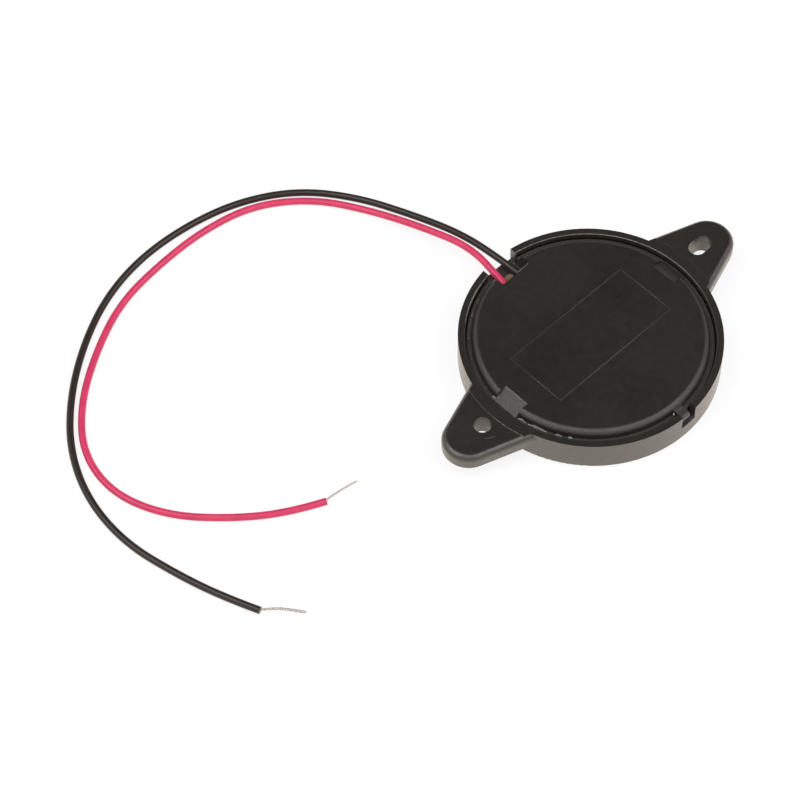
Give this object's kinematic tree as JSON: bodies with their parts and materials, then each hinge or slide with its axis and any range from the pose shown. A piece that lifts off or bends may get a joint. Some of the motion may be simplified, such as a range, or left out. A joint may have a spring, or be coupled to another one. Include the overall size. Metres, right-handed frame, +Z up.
{
  "type": "piezo buzzer",
  "caption": "Black round piezo buzzer with two fixing ears, a raised back cover and red and black flying leads with bare ends.",
  "frame": {"origin": "centre of the sound face, on the surface the case stands on", "axes": "+Z up out of the back cover; +X through the ears towards the slotted one; +Y towards the gap where the leads come out"},
  "size_m": [0.109, 0.0867, 0.0062],
  "materials": {
    "black_plastic": "moulded near-black ABS, satin, slightly brown",
    "brass": "rolled sheet",
    "ceramic": "fired lead zirconate titanate, cream-grey",
    "silver": "fired silver film, pale and matt",
    "sealant": "translucent white silicone",
    "red_insulation": "pinkish red PVC, satin",
    "black_insulation": "black PVC, satin",
    "tinned_copper": "tinned strands, dull grey",
    "solder": "solder, bright grey",
    "adhesive": "tan rubber adhesive"
  },
  "bodies": {
    "root": {"housing": "black_plastic", "back_cover": "black_plastic", "diaphragm_plate": "brass", "piezo_ceramic": "ceramic", "silver_electrode": "silver", "diaphragm_sealant": "sealant", "red_lead": "red_insulation", "black_lead": "black_insulation", "red_lead_tip": "tinned_copper", "black_lead_tip": "tinned_copper", "red_lead_root": "tinned_copper", "black_lead_root": "tinned_copper", "red_solder": "solder", "black_solder": "solder", "lead_adhesive": "adhesive"}
  },
  "joints": []
}
